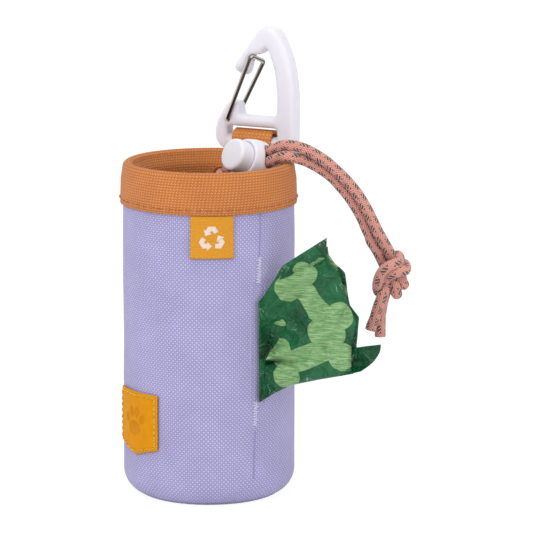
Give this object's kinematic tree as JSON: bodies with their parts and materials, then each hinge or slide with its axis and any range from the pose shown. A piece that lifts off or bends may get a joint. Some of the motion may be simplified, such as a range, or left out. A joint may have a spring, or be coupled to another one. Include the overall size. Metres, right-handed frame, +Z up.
{
  "type": "dog waste bag dispenser",
  "caption": "Soft cylindrical pouch with drawcord mouth, cord lock, clip on a webbing loop and a side slit that hands out bags from a roll.",
  "frame": {"origin": "centre of the flat base", "axes": "+Z up through the mouth, -Y towards the label, +X towards the free drawcord"},
  "size_m": [0.1053, 0.0857, 0.1669],
  "materials": {
    "lilac_fabric": "woven polyester canvas",
    "lilac_trim": "folded canvas edge and seam binding",
    "lining_fabric": "woven polyester lining",
    "collar_webbing": "woven webbing",
    "collar_thread": "sewing thread",
    "white_thread": "sewing thread",
    "label_satin": "woven satin label",
    "patch_leather": "pebbled leather",
    "patch_thread": "sewing thread",
    "cord_braid": "braided polyester cord with dark flecks",
    "clip_plastic": "moulded acetal, satin",
    "gate_wire": "nickel-plated steel wire",
    "spring_wire": "spring steel wire",
    "bag_film": "thin polyethylene film",
    "core_board": "wound cardboard"
  },
  "bodies": {
    "pouch": {"outer_shell": "lilac_fabric", "base_panel": "lilac_fabric", "base_piping": "lilac_trim", "lining_tube": "lining_fabric", "lining_base": "lining_fabric", "collar": "collar_webbing", "collar_topstitch": "collar_thread", "drawcord_in_channel": "cord_braid", "channel_eyelets": "collar_thread", "label_tab": "label_satin", "leather_patch": "patch_leather", "patch_stitches": "patch_thread", "side_seam": "lilac_trim", "slit_facing": "lilac_trim", "slit_bartacks": "white_thread", "webbing_loop": "collar_webbing", "webbing_bartacks": "collar_thread", "drawcord_upper": "cord_braid", "drawcord_lower": "cord_braid", "drawcord_knot": "cord_braid", "drawcord_ends": "cord_braid"},
    "carabiner": {"carabiner_body": "clip_plastic"},
    "gate": {"wire_gate": "gate_wire"},
    "cord_lock": {"cord_lock_barrel": "clip_plastic", "cord_lock_spring": "spring_wire"},
    "button": {"cord_lock_button": "clip_plastic"},
    "roll": {"bag_roll": "bag_film", "roll_core": "core_board"},
    "bag": {"pulled_bag": "bag_film"}
  },
  "joints": [
    {"name": "carabiner_swing", "type": "hinge", "parent": "pouch", "child": "carabiner", "pos_m": [0.01748, 0.0309, 0.1234], "axis": [0.8704, -0.4924, 0], "range_deg": [-115, 50]},
    {"name": "gate_swing", "type": "hinge", "parent": "carabiner", "child": "gate", "pos_m": [0.0086, 0.03592, 0.1318], "axis": [0.4924, 0.8704, 0], "range_deg": [0, 22], "stiffness_Nm_per_rad": 0.02, "springref_deg": -28.65},
    {"name": "cord_lock_slide", "type": "slide", "parent": "pouch", "child": "cord_lock", "axis": [0.6802, -0.6235, 0.3854], "range_m": [-0.005, 0]},
    {"name": "button_press", "type": "slide", "parent": "cord_lock", "child": "button", "axis": [0.733, 0.5825, -0.3512], "range_m": [0, 0.002], "stiffness_N_per_m": 400, "springref_m": -0.003, "deforming": ["cord_lock_spring"]},
    {"name": "roll_turn", "type": "hinge", "parent": "pouch", "child": "roll", "pos_m": [0, 0, 0.03], "axis": [0, 0, 1], "range_deg": [0, 50]},
    {"name": "bag_pull", "type": "slide", "parent": "pouch", "child": "bag", "axis": [0.9379, -0.3468, 0], "range_m": [0, 0.016]}
  ],
  "couplings": [
    {"joint": "bag_pull", "follows": "roll_turn", "m_per_rad": 0.0176}
  ]
}
